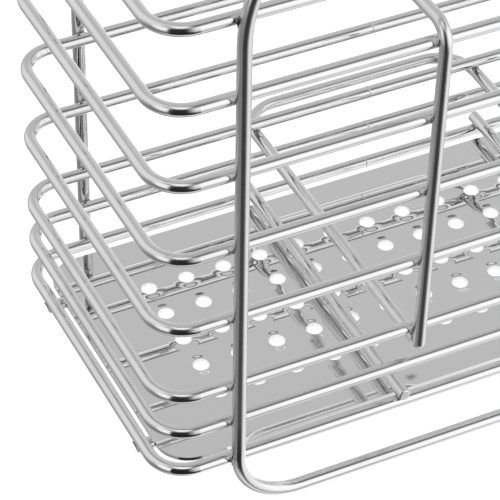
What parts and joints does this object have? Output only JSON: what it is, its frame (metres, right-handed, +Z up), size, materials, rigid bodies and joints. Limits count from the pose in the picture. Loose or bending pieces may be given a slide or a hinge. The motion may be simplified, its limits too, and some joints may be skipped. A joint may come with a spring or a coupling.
{
  "type": "test tube rack",
  "caption": "Open wire basket rack of stacked rounded hoops on two arched frames, with divider loops making compartments over a perforated sheet floor.",
  "frame": {"origin": "centre of the footprint, level with the underside of the front frame's foot rail", "axes": "+X along the long side, +Y towards the rear with the two stand-off loops, +Z up"},
  "size_m": [0.19, 0.0976, 0.1695],
  "materials": {
    "hoop_wire": "bright polished stainless steel wire",
    "frame_wire": "bright polished stainless steel wire",
    "loop_wire": "bright polished stainless steel wire",
    "floor_wire": "bright polished stainless steel wire",
    "floor_sheet": "mirror polished stainless steel sheet"
  },
  "bodies": {
    "root": {"hoop_1": "hoop_wire", "hoop_2": "hoop_wire", "hoop_3": "hoop_wire", "hoop_4": "hoop_wire", "hoop_5": "hoop_wire", "hoop_6": "hoop_wire", "hoop_7": "hoop_wire", "hoop_8": "hoop_wire", "front_frame": "frame_wire", "rear_frame": "frame_wire", "hanger_loop": "loop_wire", "spacer_loop": "loop_wire", "floor_cross_wire_left": "floor_wire", "floor_cross_wire_right": "floor_wire", "floor_bearer_front": "floor_wire", "floor_bearer_rear": "floor_wire", "floor_plate": "floor_sheet"}
  },
  "joints": []
}
